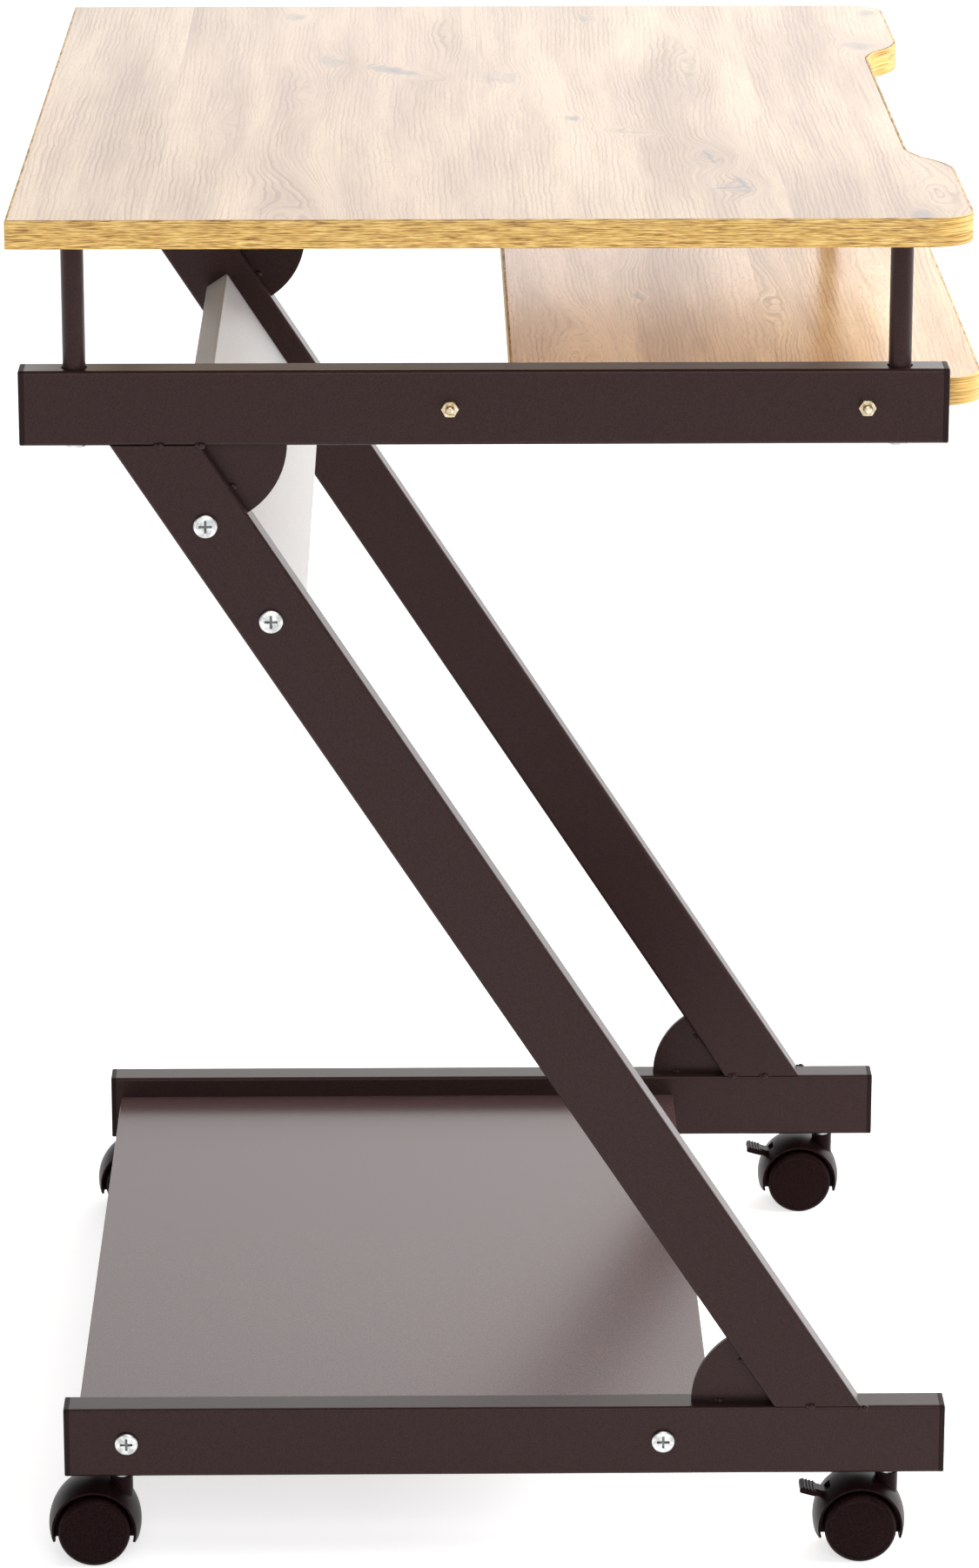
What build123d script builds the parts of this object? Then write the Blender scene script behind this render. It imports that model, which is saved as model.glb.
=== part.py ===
from build123d import *

import os
from math import acos, atan2, cos, degrees, hypot, radians, sin, tan

# Mobile computer desk: two welded Z-shaped steel side frames on casters carry a tabletop on round posts,
# a sliding keyboard tray, a slanted back panel and a bottom shelf.
# X runs across the desk, the user sits at -Y, and Z is up from the floor.

# Height over all, from the floor to the tabletop's upper face
desk_height = 765

# Tabletop: laminated board with an edge band, square at the back, cut back in the middle of its front edge
top_width = 650
top_depth = 495
top_board = 15
top_corner = 22
cutout_depth = 21.5
cutout_half = 136
cutout_bend = 50
band = 1.5

# Side frames: rectangular tube, welded, set in from the tabletop's edges
side_overhang = 50
tube_height = 40
tube_width = 20
tube_wall = 1.5
tube_round = 2
rail_front_inset = 7.5
rail_rear_inset = 1.5
cap_flange = 3
cap_plug = 12
cap_wall = 1.5
cap_gap = 0.1
cap_round = 0.8
cap_seam = 0.35
leg_inset = 47
foot_shift = 11
gusset_radius = 45
gusset_plate = 3

# Posts between the top rails and the tabletop, each clamped by a long bolt from below
post_height = 75
post_d = 12
post_front_inset = 25.5
post_rear_inset = 29
post_hole_gap = 0.85
post_bolt_d = 6
post_bolt_gap = 0.3
post_head_d = 12
post_head_h = 1.8
post_socket_af = 4
post_socket_depth = 2
insert_d = 10
insert_length = 11
insert_gap = 0.05
thread_gap = 0.05
nut_crown = 30

# Back panel and bottom shelf, held by wide-headed connector bolts and barrel nuts
panel_board = 15
panel_height = 102
panel_drop = 68
panel_setback = 2
panel_bolt_inset = 20
shelf_board = 15
shelf_depth = 352
shelf_inset = 6.5
shelf_bolt_inset = 28
board_round = 0.6
connector_d = 6
connector_gap = 0.2
connector_head_d = 13
connector_head_h = 2.2
connector_head_round = 1.2
connector_tip = 6
cross_length = 7
cross_width = 1.4
cross_depth = 1.4
barrel_d = 10
barrel_length = 12
barrel_set = 30
barrel_gap = 0.05

# Keyboard tray, as it stands in use: partly pulled out past the tabletop
tray_depth = 250
tray_board = 15
tray_corner = 22
tray_reach = 14

# Drawer slides: outer channel on the rail, inner channel on the tray, balls in strip cages between them
slide_length = 250
slide_front_inset = 21
slide_height = 27
slide_depth = 12.7
slide_sheet = 1.2
outer_depth = 10
outer_lip = 3.2
inner_height = 16.4
inner_back = 2.4
inner_front_set = 22
inner_rear_set = 2
ball_gap = 0.05
ball_pitch = 12
ball_count = 8
cage_sheet = 0.8
cage_width = 6
cage_gap = 0.1
cage_end = 8
cage_front_set = 72
slide_bolt_front = 22
slide_bolt_pitch = 218
slide_bolt_d = 5
slide_bolt_gap = 0.15
slide_bolt_head_d = 9
slide_bolt_head_h = 2.4
slide_bolt_tip = 3
slide_bolt_dome = 1.4
slide_nut_af = 8
slide_nut_h = 4
tray_screw_d = 3.5
tray_screw_gap = 0.05
tray_screw_length = 22
tray_screw_head_d = 7
tray_screw_head_h = 2
tray_screw_set = 35

# Casters: hooded twin wheels that trail behind a stem screwed into the bottom rail
caster_height = 50
caster_inset = 31
wheel_d = 40
wheel_width = 12
wheel_rim_round = 3
wheel_edge_round = 0.8
wheel_face = 2.5
trail = 15
web_half = 6.5
web_gap = 0.7
web_drop = 7
hood_half = 16.5
hood_clear = 2.2
hood_wall = 3.4
hood_rim = 1.2
hood_tip_rear = 15
hood_tip_front = 16
neck_d = 12.5
collar_d = 10
collar_h = 2.3
collar_gap = 0.2
pin_d = 7
pin_length = 14
stem_d = 8
stem_gap = 0.2
stem_tip = 1.5
caster_nut_af = 13
caster_nut_h = 6.5
axle_d = 5
axle_press = 0.02
axle_length = 33
running_gap = 0.06

# Brake levers on the front casters
lever_back = 8
lever_up = 11.5
lever_angle = 15.5
lever_travel = 18
lever_hub_d = 6.4
lever_arm = 4
lever_half = 4.2
lever_gap = 0.4
lever_side_gap = 0.3
lever_pin_d = 3
pad_start = 16.5
pad_length = 9.5
pad_half = 6.5
pad_thick = 3.2
pad_round = 1
pad_ribs = 4
pad_rib = 0.6

# Levels and places worked out from the sizes above
total_depth = top_depth + tray_reach
top_back = total_depth / 2
top_front = top_back - top_depth
top_under = desk_height - top_board
top_rail_high = top_under - post_height
top_rail_low = top_rail_high - tube_height
foot_rail_low = caster_height
foot_rail_high = foot_rail_low + tube_height
leg_rise = top_rail_low - foot_rail_high
rail_overall = top_depth - rail_front_inset - rail_rear_inset
rail_length = rail_overall - 2 * cap_flange
bore_round = max(tube_round - tube_wall, tube_wall / 5)
top_rail_mid = top_back - rail_rear_inset - rail_overall / 2
foot_rail_mid = top_rail_mid - foot_shift
frame_width = top_width - 2 * side_overhang
rail_x = (frame_width - tube_width) / 2
inner_face = frame_width / 2 - tube_width
SIDES = {"left": -1, "right": 1}

# Leg: its rear edge meets the top rail and its front edge meets the bottom rail, leg_inset from the ends
leg_rear_top = top_rail_mid + rail_overall / 2 - leg_inset
leg_front_foot = foot_rail_mid - rail_overall / 2 + leg_inset
leg_run = leg_rear_top - leg_front_foot
leg_lean = acos(tube_height / hypot(leg_run, leg_rise)) - atan2(leg_rise, leg_run)
leg_level_width = tube_height / cos(leg_lean)
leg_front_top = leg_rear_top - leg_level_width
leg_rear_foot = leg_front_foot + leg_level_width
leg_mid_y = (leg_rear_top + leg_front_foot) / 2
leg_mid_z = (top_rail_low + foot_rail_high) / 2
leg_up = Vector(0, sin(leg_lean), cos(leg_lean))
leg_outward = Vector(0, -cos(leg_lean), sin(leg_lean))

# Panel just behind the middle line of the legs, shelf on the middle line of the bottom rails
panel_z = top_rail_low - panel_drop
panel_line = Vector(0, leg_mid_y + (panel_z - leg_mid_z) * tan(leg_lean), panel_z)
panel_centre = panel_line - leg_outward * panel_setback
panel_bolt_half = panel_height / 2 - panel_bolt_inset
panel_bolts = [panel_centre + leg_up * (out * panel_bolt_half) for out in (-1, 1)]
shelf_z = foot_rail_low + tube_height / 2
shelf_back = foot_rail_mid + rail_overall / 2 - shelf_inset
shelf_mid = shelf_back - shelf_depth / 2
shelf_bolt_half = shelf_depth / 2 - shelf_bolt_inset
shelf_bolts = [Vector(0, shelf_mid + out * shelf_bolt_half, shelf_z) for out in (-1, 1)]
connector_length = tube_width + barrel_set + connector_tip

# Posts and casters along the rails
post_front = top_rail_mid - rail_overall / 2 + post_front_inset
post_rear = top_rail_mid + rail_overall / 2 - post_rear_inset
post_rows = [post_front, post_rear]
post_points = [(sx * rail_x, y) for sx in SIDES.values() for y in post_rows]
caster_half = rail_overall / 2 - caster_inset
caster_rows = {"front": foot_rail_mid - caster_half, "rear": foot_rail_mid + caster_half}

# Tray and slides share the middle line of the top rails
slide_z = top_rail_low + tube_height / 2
slide_front = top_rail_mid - rail_overall / 2 + slide_front_inset
slide_bolt_rows = [slide_front + slide_bolt_front, slide_front + slide_bolt_front + slide_bolt_pitch]
tray_width = 2 * (inner_face - slide_depth)
tray_front = top_front - tray_reach
tray_under = slide_z - tray_board / 2
inner_front = tray_front + inner_front_set
inner_length = tray_depth - inner_front_set - inner_rear_set
tray_screw_rows = [inner_front + tray_screw_set, inner_front + inner_length - tray_screw_set]
race_outer = slide_height / 2 - slide_sheet
race_inner = inner_height / 2
ball_z = (race_outer + race_inner) / 2
ball_d = race_outer - race_inner - 2 * ball_gap
cage_set = slide_sheet + (outer_depth - slide_sheet * 2) / 2
cage_length = (ball_count - 1) * ball_pitch + 2 * cage_end
cage_mid = slide_front + cage_front_set + cage_length / 2

# Caster places, measured from the stem's axis on the floor
axle_z = wheel_d / 2
hood_inner = wheel_d / 2 + hood_clear
hood_outer = hood_inner + hood_wall
neck_top = caster_height - collar_h - collar_gap
wheel_inner_face = web_half + web_gap
lever_pivot = (trail + lever_back, axle_z + lever_up)


def save(piece, label):
    """Label a finished piece and write it as its own node."""
    piece.part.label = label
    export_step(piece.part, f"parts/{label}.step")


def tube_section():
    """Hollow rectangular tube section, drawn in the sketch that is open."""
    RectangleRounded(tube_width, tube_height, tube_round)
    bore = (tube_width - 2 * tube_wall, tube_height - 2 * tube_wall)
    RectangleRounded(*bore, bore_round, mode=Mode.SUBTRACT)


def rail(x, mid_y, low_z, wall_holes, cross_holes):
    """Rail along Y, with (level, y, diameter) holes in top and bottom walls and (y, diameter) holes across."""
    start = Plane((x, mid_y - rail_length / 2, low_z + tube_height / 2), x_dir=(1, 0, 0), z_dir=(0, 1, 0))
    with BuildPart() as tube:
        with BuildSketch(start):
            tube_section()
        extrude(amount=rail_length)
        for level, y, diameter in wall_holes:
            with BuildSketch(Plane.XY.offset(level)):
                with Locations((x, y)):
                    Circle(diameter / 2)
            extrude(amount=tube_wall, both=True, mode=Mode.SUBTRACT)
        for y, diameter in cross_holes:
            with BuildSketch(Plane.YZ.offset(x - tube_width / 2)):
                with Locations((y, low_z + tube_height / 2)):
                    Circle(diameter / 2)
            extrude(amount=tube_width, mode=Mode.SUBTRACT)
    return tube


def rail_caps(mid_y, low_z):
    """Plastic caps in both ends of the left and right rails at one level."""
    with BuildPart() as cap:
        with BuildSketch(Plane.XY):
            RectangleRounded(tube_width, tube_height, tube_round)
        extrude(amount=cap_flange)
        fillet(faces().sort_by(Axis.Z)[-1].edges(), cap_round)
        fillet(faces().sort_by(Axis.Z)[0].edges(), cap_seam)
        plug_width = tube_width - 2 * (tube_wall + cap_gap)
        plug_height = tube_height - 2 * (tube_wall + cap_gap)
        with BuildSketch(Plane.XY):
            RectangleRounded(plug_width, plug_height, bore_round)
            Rectangle(plug_width - 2 * cap_wall, plug_height - 2 * cap_wall, mode=Mode.SUBTRACT)
        extrude(amount=-cap_plug)
    mid_z = low_z + tube_height / 2
    ends = []
    for sx in SIDES.values():
        for out in (-1, 1):
            end_point = (sx * rail_x, mid_y + out * rail_length / 2, mid_z)
            ends.append(Plane(end_point, x_dir=(1, 0, 0), z_dir=(0, out, 0)))
    with BuildPart() as caps:
        with Locations(*ends):
            add(cap.part)
    return caps


def leg(x):
    """Slanted leg between the rails, its ends cut level, with the panel's bolt holes."""
    middle = Plane((x, leg_mid_y, leg_mid_z), x_dir=(1, 0, 0), z_dir=leg_up)
    with BuildPart() as tube:
        with BuildSketch(middle):
            tube_section()
        extrude(amount=leg_rise, both=True)
        split(bisect_by=Plane.XY.offset(top_rail_low), keep=Keep.BOTTOM)
        split(bisect_by=Plane.XY.offset(foot_rail_high), keep=Keep.TOP)
        with BuildSketch(Plane.YZ.offset(x - tube_width / 2)):
            with Locations(*[(point.Y, point.Z) for point in panel_bolts]):
                Circle(connector_d / 2 + connector_gap)
        extrude(amount=tube_width, mode=Mode.SUBTRACT)
    return tube


def gussets(corner_y, corner_z, start_angle):
    """Quarter-round plates welded into the corner between leg and rail, one on each side."""
    with BuildPart() as plates:
        for sx in SIDES.values():
            with BuildSketch(Plane.YZ.offset(sx * rail_x)):
                with BuildLine():
                    corner = (corner_y, corner_z)
                    rim = CenterArc(corner, gusset_radius, start_angle, 90 - degrees(leg_lean))
                    Polyline(rim @ 1, corner, rim @ 0)
                make_face()
            extrude(amount=gusset_plate / 2, both=True)
    return plates


def tabletop_outline(inset):
    """Tabletop outline on the board's underside, drawn in by inset."""
    half = top_width / 2
    bend_run = 2 * cutout_bend * sin(acos(1 - cutout_depth / (2 * cutout_bend)))
    bend_middle = (cutout_half + bend_run / 2, top_front + cutout_depth / 2)
    with BuildSketch(Plane.XY.offset(top_under), mode=Mode.PRIVATE) as outline:
        with BuildLine():
            side = Polyline((0, top_back), (half, top_back), (half, top_front + top_corner))
            corner = TangentArc(side @ 1, (half - top_corner, top_front), tangent=(0, -1))
            lobe = Line(corner @ 1, (cutout_half + bend_run, top_front))
            outer_bend = TangentArc(lobe @ 1, bend_middle, tangent=(-1, 0))
            inner_end = (cutout_half, top_front + cutout_depth)
            inner_bend = TangentArc(outer_bend @ 1, inner_end, tangent=outer_bend % 1)
            Line(inner_bend @ 1, (0, top_front + cutout_depth))
            mirror(about=Plane.YZ)
        make_face()
        if inset:
            offset(amount=-inset)
    return outline.sketch


def tray_outline(inset):
    """Tray outline on the board's underside, drawn in by inset."""
    with BuildSketch(Plane.XY.offset(tray_under), mode=Mode.PRIVATE) as outline:
        with Locations((0, tray_front + tray_depth / 2)):
            Rectangle(tray_width, tray_depth)
        fillet(outline.vertices().group_by(Axis.Y)[0], tray_corner)
        if inset:
            offset(amount=-inset)
    return outline.sketch


def drill(plane, radius, depth):
    """Round hole from the plane's origin, against its normal, cut in the part that is open."""
    with BuildSketch(plane, mode=Mode.PRIVATE) as hole:
        Circle(radius)
    extrude(hole.sketch, amount=-depth, mode=Mode.SUBTRACT)


def drill_tray():
    """Screw holes into both side edges of the tray."""
    for sx in SIDES.values():
        for y in tray_screw_rows:
            edge = Plane((sx * tray_width / 2, y, slide_z), x_dir=(0, 1, 0), z_dir=(sx, 0, 0))
            drill(edge, tray_screw_d / 2 + tray_screw_gap, tray_screw_length)


def barrel_plane(sx, point, into):
    """Plane through the middle of a barrel nut, square to its axis."""
    place = (sx * (inner_face - barrel_set), point.Y, point.Z)
    return Plane(place, x_dir=(1, 0, 0), z_dir=into)


def drill_board(points, into, board):
    """Bolt holes into both ends of a board, and barrel-nut holes into the face that looks against into."""
    barrel_radius = barrel_d / 2 + barrel_gap
    for point in points:
        for sx in SIDES.values():
            end = Plane((sx * inner_face, point.Y, point.Z), x_dir=(0, 1, 0), z_dir=(sx, 0, 0))
            drill(end, connector_d / 2 + connector_gap, barrel_set + connector_tip + connector_gap)
            blind_end = barrel_plane(sx, point, into).offset(barrel_length / 2)
            drill(blind_end, barrel_radius, (barrel_length + board) / 2)


def slide_place(sx, from_rail, height):
    """Point of a slide's section, by its distance in from the rail and its height from the slide's middle."""
    return (sx * (inner_face - from_rail), slide_z + height)


def slide_member(sx, front_y, length, section, bolt_rows, bolt_x, bolt_radius):
    """Sheet channel along Y, drawn as half a section mirrored about the slide's middle, with its holes."""
    points = section + [(from_rail, -height) for from_rail, height in reversed(section)]
    front = Plane((0, front_y, 0), x_dir=(1, 0, 0), z_dir=(0, -1, 0))
    with BuildPart() as channel:
        with BuildSketch(front):
            with BuildLine():
                Polyline(*[slide_place(sx, from_rail, height) for from_rail, height in points], close=True)
            make_face()
        extrude(amount=-length)
        with BuildSketch(Plane.YZ.offset(sx * (inner_face - bolt_x))):
            with Locations(*[(y, slide_z) for y in bolt_rows]):
                Circle(bolt_radius)
        extrude(amount=slide_sheet, both=True, mode=Mode.SUBTRACT)
    return channel


def hex_nut(across_flats, height, bore_radius):
    """Hexagon nut standing on the XY plane, its crown turned to a cone."""
    flat = across_flats / 2
    reach = 1.2 * flat / cos(radians(30))
    crown_low = height - (reach - flat) * tan(radians(nut_crown))
    with BuildPart() as nut:
        with BuildSketch(Plane.XY):
            RegularPolygon(flat, 6, major_radius=False)
        extrude(amount=height)
        with BuildSketch(Plane.XZ):
            Polygon((0, 0), (reach, 0), (reach, crown_low), (flat, height), (0, height), align=None)
        revolve(axis=Axis.Z, mode=Mode.INTERSECT)
        with BuildSketch(Plane.XY):
            Circle(bore_radius)
        extrude(amount=height, mode=Mode.SUBTRACT)
    return nut


def bolt(shank_d, length, head_d, head_h, head_round):
    """Round-headed bolt: head on the XY plane, shank down."""
    with BuildPart() as piece:
        with BuildSketch(Plane.XY):
            Circle(head_d / 2)
        extrude(amount=head_h)
        fillet(faces().sort_by(Axis.Z)[-1].edges(), head_round)
        with BuildSketch(Plane.XY):
            Circle(shank_d / 2)
        extrude(amount=-length)
    return piece


def caster_hood(braked):
    """Hood over two wheels: crowned shell, web between the wheels, neck round the stem."""
    centre = (0, trail, axle_z)
    tilt = radians(hood_tip_rear)
    rim = hood_inner + hood_rim
    with BuildPart() as hood:
        with BuildSketch(Plane(centre, x_dir=(1, 0, 0), z_dir=(0, sin(tilt), cos(tilt)))):
            with BuildLine():
                crown = ThreePointArc((hood_half, rim), (0, hood_outer), (-hood_half, rim))
                Polyline(crown @ 1, (-hood_half, hood_inner), (hood_half, hood_inner), crown @ 0)
            make_face()
        revolve(axis=Axis(centre, (1, 0, 0)), revolution_arc=180 + hood_tip_rear + hood_tip_front)
        with BuildSketch(Plane.YZ):
            with Locations((trail, axle_z)):
                Circle(hood_inner + hood_rim / 2)
            with Locations((trail, axle_z - web_drop)):
                below = (Align.CENTER, Align.MAX)
                Rectangle(2 * hood_outer, 2 * hood_outer, align=below, mode=Mode.SUBTRACT)
        extrude(amount=web_half, both=True)
        with BuildSketch(Plane.XY.offset(axle_z)):
            Circle(neck_d / 2)
        extrude(amount=neck_top - axle_z)
        with BuildSketch(Plane.XY.offset(neck_top)):
            Circle(pin_d / 2 + running_gap)
        extrude(amount=-(pin_length + running_gap), mode=Mode.SUBTRACT)
        with BuildSketch(Plane.YZ):
            with Locations((trail, axle_z)):
                Circle(axle_d / 2 + axle_press)
        extrude(amount=web_half, both=True, mode=Mode.SUBTRACT)
        if braked:
            with BuildSketch(Plane.YZ):
                with Locations(lever_pivot):
                    Circle(lever_hub_d / 2 + lever_gap)
                for step in range(3):
                    turn = lever_angle + lever_travel * step / 2
                    with Locations(Location(lever_pivot, turn)):
                        slot_size = (pad_start, lever_arm + 2 * lever_gap)
                        Rectangle(*slot_size, align=(Align.MIN, Align.CENTER))
            extrude(amount=lever_half + lever_side_gap, both=True, mode=Mode.SUBTRACT)
            with BuildSketch(Plane.YZ):
                with Locations(lever_pivot):
                    Circle(lever_pin_d / 2 + running_gap)
            extrude(amount=web_half, both=True, mode=Mode.SUBTRACT)
    return hood


def brake_lever():
    """Brake lever: hub with side pins in the hood's web, arm through the slot, ribbed foot pad behind."""
    with BuildPart() as lever:
        with BuildSketch(Plane.YZ):
            with Locations(lever_pivot):
                Circle(lever_hub_d / 2)
            with Locations(Location(lever_pivot, lever_angle)):
                Rectangle(pad_start + pad_round * 2, lever_arm, align=(Align.MIN, Align.CENTER))
        extrude(amount=lever_half, both=True)
        with BuildSketch(Plane.YZ):
            with Locations(lever_pivot):
                Circle(lever_pin_d / 2)
        extrude(amount=web_half, both=True)
        pad_middle = pad_start + pad_length / 2
        with BuildSketch(Plane.YZ):
            with Locations(Location(lever_pivot, lever_angle)):
                with Locations((pad_middle, 0)):
                    RectangleRounded(pad_length, pad_thick, pad_round)
                for step in range(pad_ribs):
                    along = pad_middle + pad_length * ((step + 0.5) / pad_ribs - 0.5) * 0.8
                    with Locations((along, pad_thick / 2)):
                        Circle(pad_rib)
        extrude(amount=pad_half, both=True)
    return lever


def caster_wheel(sx):
    """Wheel with a rounded outer rim and a blind bore for the axle."""
    inner_plane = Plane((sx * wheel_inner_face, trail, axle_z), x_dir=(0, 1, 0), z_dir=(sx, 0, 0))
    with BuildPart() as wheel:
        with BuildSketch(inner_plane):
            Circle(wheel_d / 2)
        extrude(amount=wheel_width)
        outer_edge = edges().filter_by(GeomType.CIRCLE).sort_by(Axis.X)[-1 if sx > 0 else 0]
        inner_edge = edges().filter_by(GeomType.CIRCLE).sort_by(Axis.X)[0 if sx > 0 else -1]
        fillet(outer_edge, wheel_rim_round)
        fillet(inner_edge, wheel_edge_round)
        with BuildSketch(inner_plane):
            Circle(axle_d / 2 + running_gap)
        extrude(amount=wheel_width - wheel_face, mode=Mode.SUBTRACT)
    return wheel


def caster_stem():
    """Stem: pin in the hood's neck, collar under the rail, threaded end up through the rail's wall."""
    with BuildPart() as stem:
        with BuildSketch(Plane.XY.offset(neck_top - pin_length)):
            Circle(pin_d / 2)
        extrude(amount=pin_length + collar_gap)
        with BuildSketch(Plane.XY.offset(caster_height - collar_h)):
            Circle(collar_d / 2)
        extrude(amount=collar_h)
        with BuildSketch(Plane.XY.offset(caster_height)):
            Circle(stem_d / 2)
        extrude(amount=tube_wall + caster_nut_h + stem_tip)
    return stem


def caster_axle():
    """Axle pressed through the hood's web."""
    with BuildPart() as axle:
        with BuildSketch(Plane.YZ):
            with Locations((trail, axle_z)):
                Circle(axle_d / 2)
        extrude(amount=axle_length / 2, both=True)
    return axle


def placed(piece, places):
    """Copies of a piece at each of the places, as one node."""
    with BuildPart() as copies:
        with Locations(*places):
            add(piece.part)
    return copies


os.makedirs("parts", exist_ok=True)

# Side frames
for side, sx in SIDES.items():
    post_holes = []
    for y in post_rows:
        post_holes.append((top_rail_high, y, post_d + 2 * post_hole_gap))
        post_holes.append((top_rail_low, y, post_bolt_d + 2 * post_bolt_gap))
    slide_holes = [(y, slide_bolt_d + 2 * slide_bolt_gap) for y in slide_bolt_rows]
    save(rail(sx * rail_x, top_rail_mid, top_rail_low, post_holes, slide_holes), f"{side}_top_rail")
    stem_holes = [(foot_rail_low, y, stem_d + 2 * stem_gap) for y in caster_rows.values()]
    shelf_holes = [(point.Y, connector_d + 2 * connector_gap) for point in shelf_bolts]
    save(rail(sx * rail_x, foot_rail_mid, foot_rail_low, stem_holes, shelf_holes), f"{side}_bottom_rail")
    save(leg(sx * rail_x), f"{side}_leg")
save(gussets(leg_front_top, top_rail_low, 180), "upper_gussets")
save(gussets(leg_rear_foot, foot_rail_high, 0), "lower_gussets")
save(rail_caps(top_rail_mid, top_rail_low), "top_rail_caps")
save(rail_caps(foot_rail_mid, foot_rail_low), "bottom_rail_caps")

# Posts, their bolts and the threaded inserts in the tabletop
post_foot = top_rail_low + tube_wall
for side, sx in SIDES.items():
    for row, y in zip(("front", "rear"), post_rows):
        with BuildPart() as post:
            with BuildSketch(Plane.XY.offset(post_foot)):
                with Locations((sx * rail_x, y)):
                    Circle(post_d / 2)
                    Circle(post_bolt_d / 2 + post_bolt_gap, mode=Mode.SUBTRACT)
            extrude(amount=top_under - post_foot)
        save(post, f"{side}_{row}_post")
post_bolt_length = tube_height + post_height + insert_length - thread_gap
with BuildPart() as post_bolt:
    add(bolt(post_bolt_d, post_bolt_length, post_head_d, post_head_h, post_head_h / 3).part)
    with BuildSketch(Plane.XY.offset(post_head_h)):
        RegularPolygon(post_socket_af / 2, 6, major_radius=False)
    extrude(amount=-post_socket_depth, mode=Mode.SUBTRACT)
heads_down = [Plane((x, y, top_rail_low), x_dir=(1, 0, 0), z_dir=(0, 0, -1)) for x, y in post_points]
save(placed(post_bolt, heads_down), "post_bolts")
with BuildPart() as tabletop_inserts:
    with BuildSketch(Plane.XY.offset(top_under)):
        with Locations(*post_points):
            Circle(insert_d / 2)
            Circle(post_bolt_d / 2 + thread_gap, mode=Mode.SUBTRACT)
    extrude(amount=insert_length)
save(tabletop_inserts, "tabletop_inserts")

# Tabletop
with BuildPart() as tabletop:
    extrude(tabletop_outline(band), amount=top_board)
    with BuildSketch(Plane.XY.offset(top_under)):
        with Locations(*post_points):
            Circle(insert_d / 2 + insert_gap)
    extrude(amount=insert_length + insert_gap, mode=Mode.SUBTRACT)
save(tabletop, "tabletop")
with BuildPart() as tabletop_edge_band:
    extrude(tabletop_outline(0), amount=top_board)
    extrude(tabletop_outline(band), amount=top_board, mode=Mode.SUBTRACT)
save(tabletop_edge_band, "tabletop_edge_band")

# Back panel, square to the legs' slant, and bottom shelf between the bottom rails
board_width = 2 * inner_face
with BuildPart() as back_panel:
    with BuildSketch(Plane(panel_centre, x_dir=(1, 0, 0), z_dir=leg_outward)):
        Rectangle(board_width, panel_height)
    extrude(amount=panel_board / 2, both=True)
    fillet(edges().filter_by(Axis.X), board_round)
    drill_board(panel_bolts, leg_outward, panel_board)
save(back_panel, "back_panel")
with BuildPart() as bottom_shelf:
    with BuildSketch(Plane.XY.offset(shelf_z)):
        with Locations((0, shelf_mid)):
            Rectangle(board_width, shelf_depth)
    extrude(amount=shelf_board / 2, both=True)
    fillet(edges().filter_by(Axis.X), board_round)
    drill_board(shelf_bolts, Vector(0, 0, 1), shelf_board)
save(bottom_shelf, "bottom_shelf")

# Connector bolts through legs and bottom rails, and the barrel nuts that they draw up
with BuildPart() as connector_bolt:
    head = (connector_head_d, connector_head_h, connector_head_round)
    add(bolt(connector_d, connector_length, *head).part)
    with BuildSketch(Plane.XY.offset(connector_head_h)):
        Rectangle(cross_length, cross_width)
        Rectangle(cross_width, cross_length)
    extrude(amount=-cross_depth, mode=Mode.SUBTRACT)
bolt_places = []
for point in panel_bolts + shelf_bolts:
    for sx in SIDES.values():
        head_place = (sx * frame_width / 2, point.Y, point.Z)
        bolt_places.append(Plane(head_place, x_dir=(0, 1, 0), z_dir=(sx, 0, 0)))
save(placed(connector_bolt, bolt_places), "connector_bolts")
with BuildPart() as barrel_nut:
    with BuildSketch(Plane.XY):
        Circle(barrel_d / 2)
    extrude(amount=barrel_length / 2, both=True)
    with BuildSketch(Plane.YZ):
        Circle(connector_d / 2 + thread_gap)
    extrude(amount=barrel_d, both=True, mode=Mode.SUBTRACT)
barrel_places = []
for points, into in ((panel_bolts, leg_outward), (shelf_bolts, Vector(0, 0, 1))):
    for point in points:
        for sx in SIDES.values():
            barrel_places.append(barrel_plane(sx, point, into))
save(placed(barrel_nut, barrel_places), "barrel_nuts")

# Keyboard tray
with BuildPart() as keyboard_tray:
    extrude(tray_outline(band), amount=tray_board)
    drill_tray()
save(keyboard_tray, "keyboard_tray")
with BuildPart() as tray_edge_band:
    extrude(tray_outline(0), amount=tray_board)
    extrude(tray_outline(band), amount=tray_board, mode=Mode.SUBTRACT)
    drill_tray()
save(tray_edge_band, "tray_edge_band")

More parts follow.
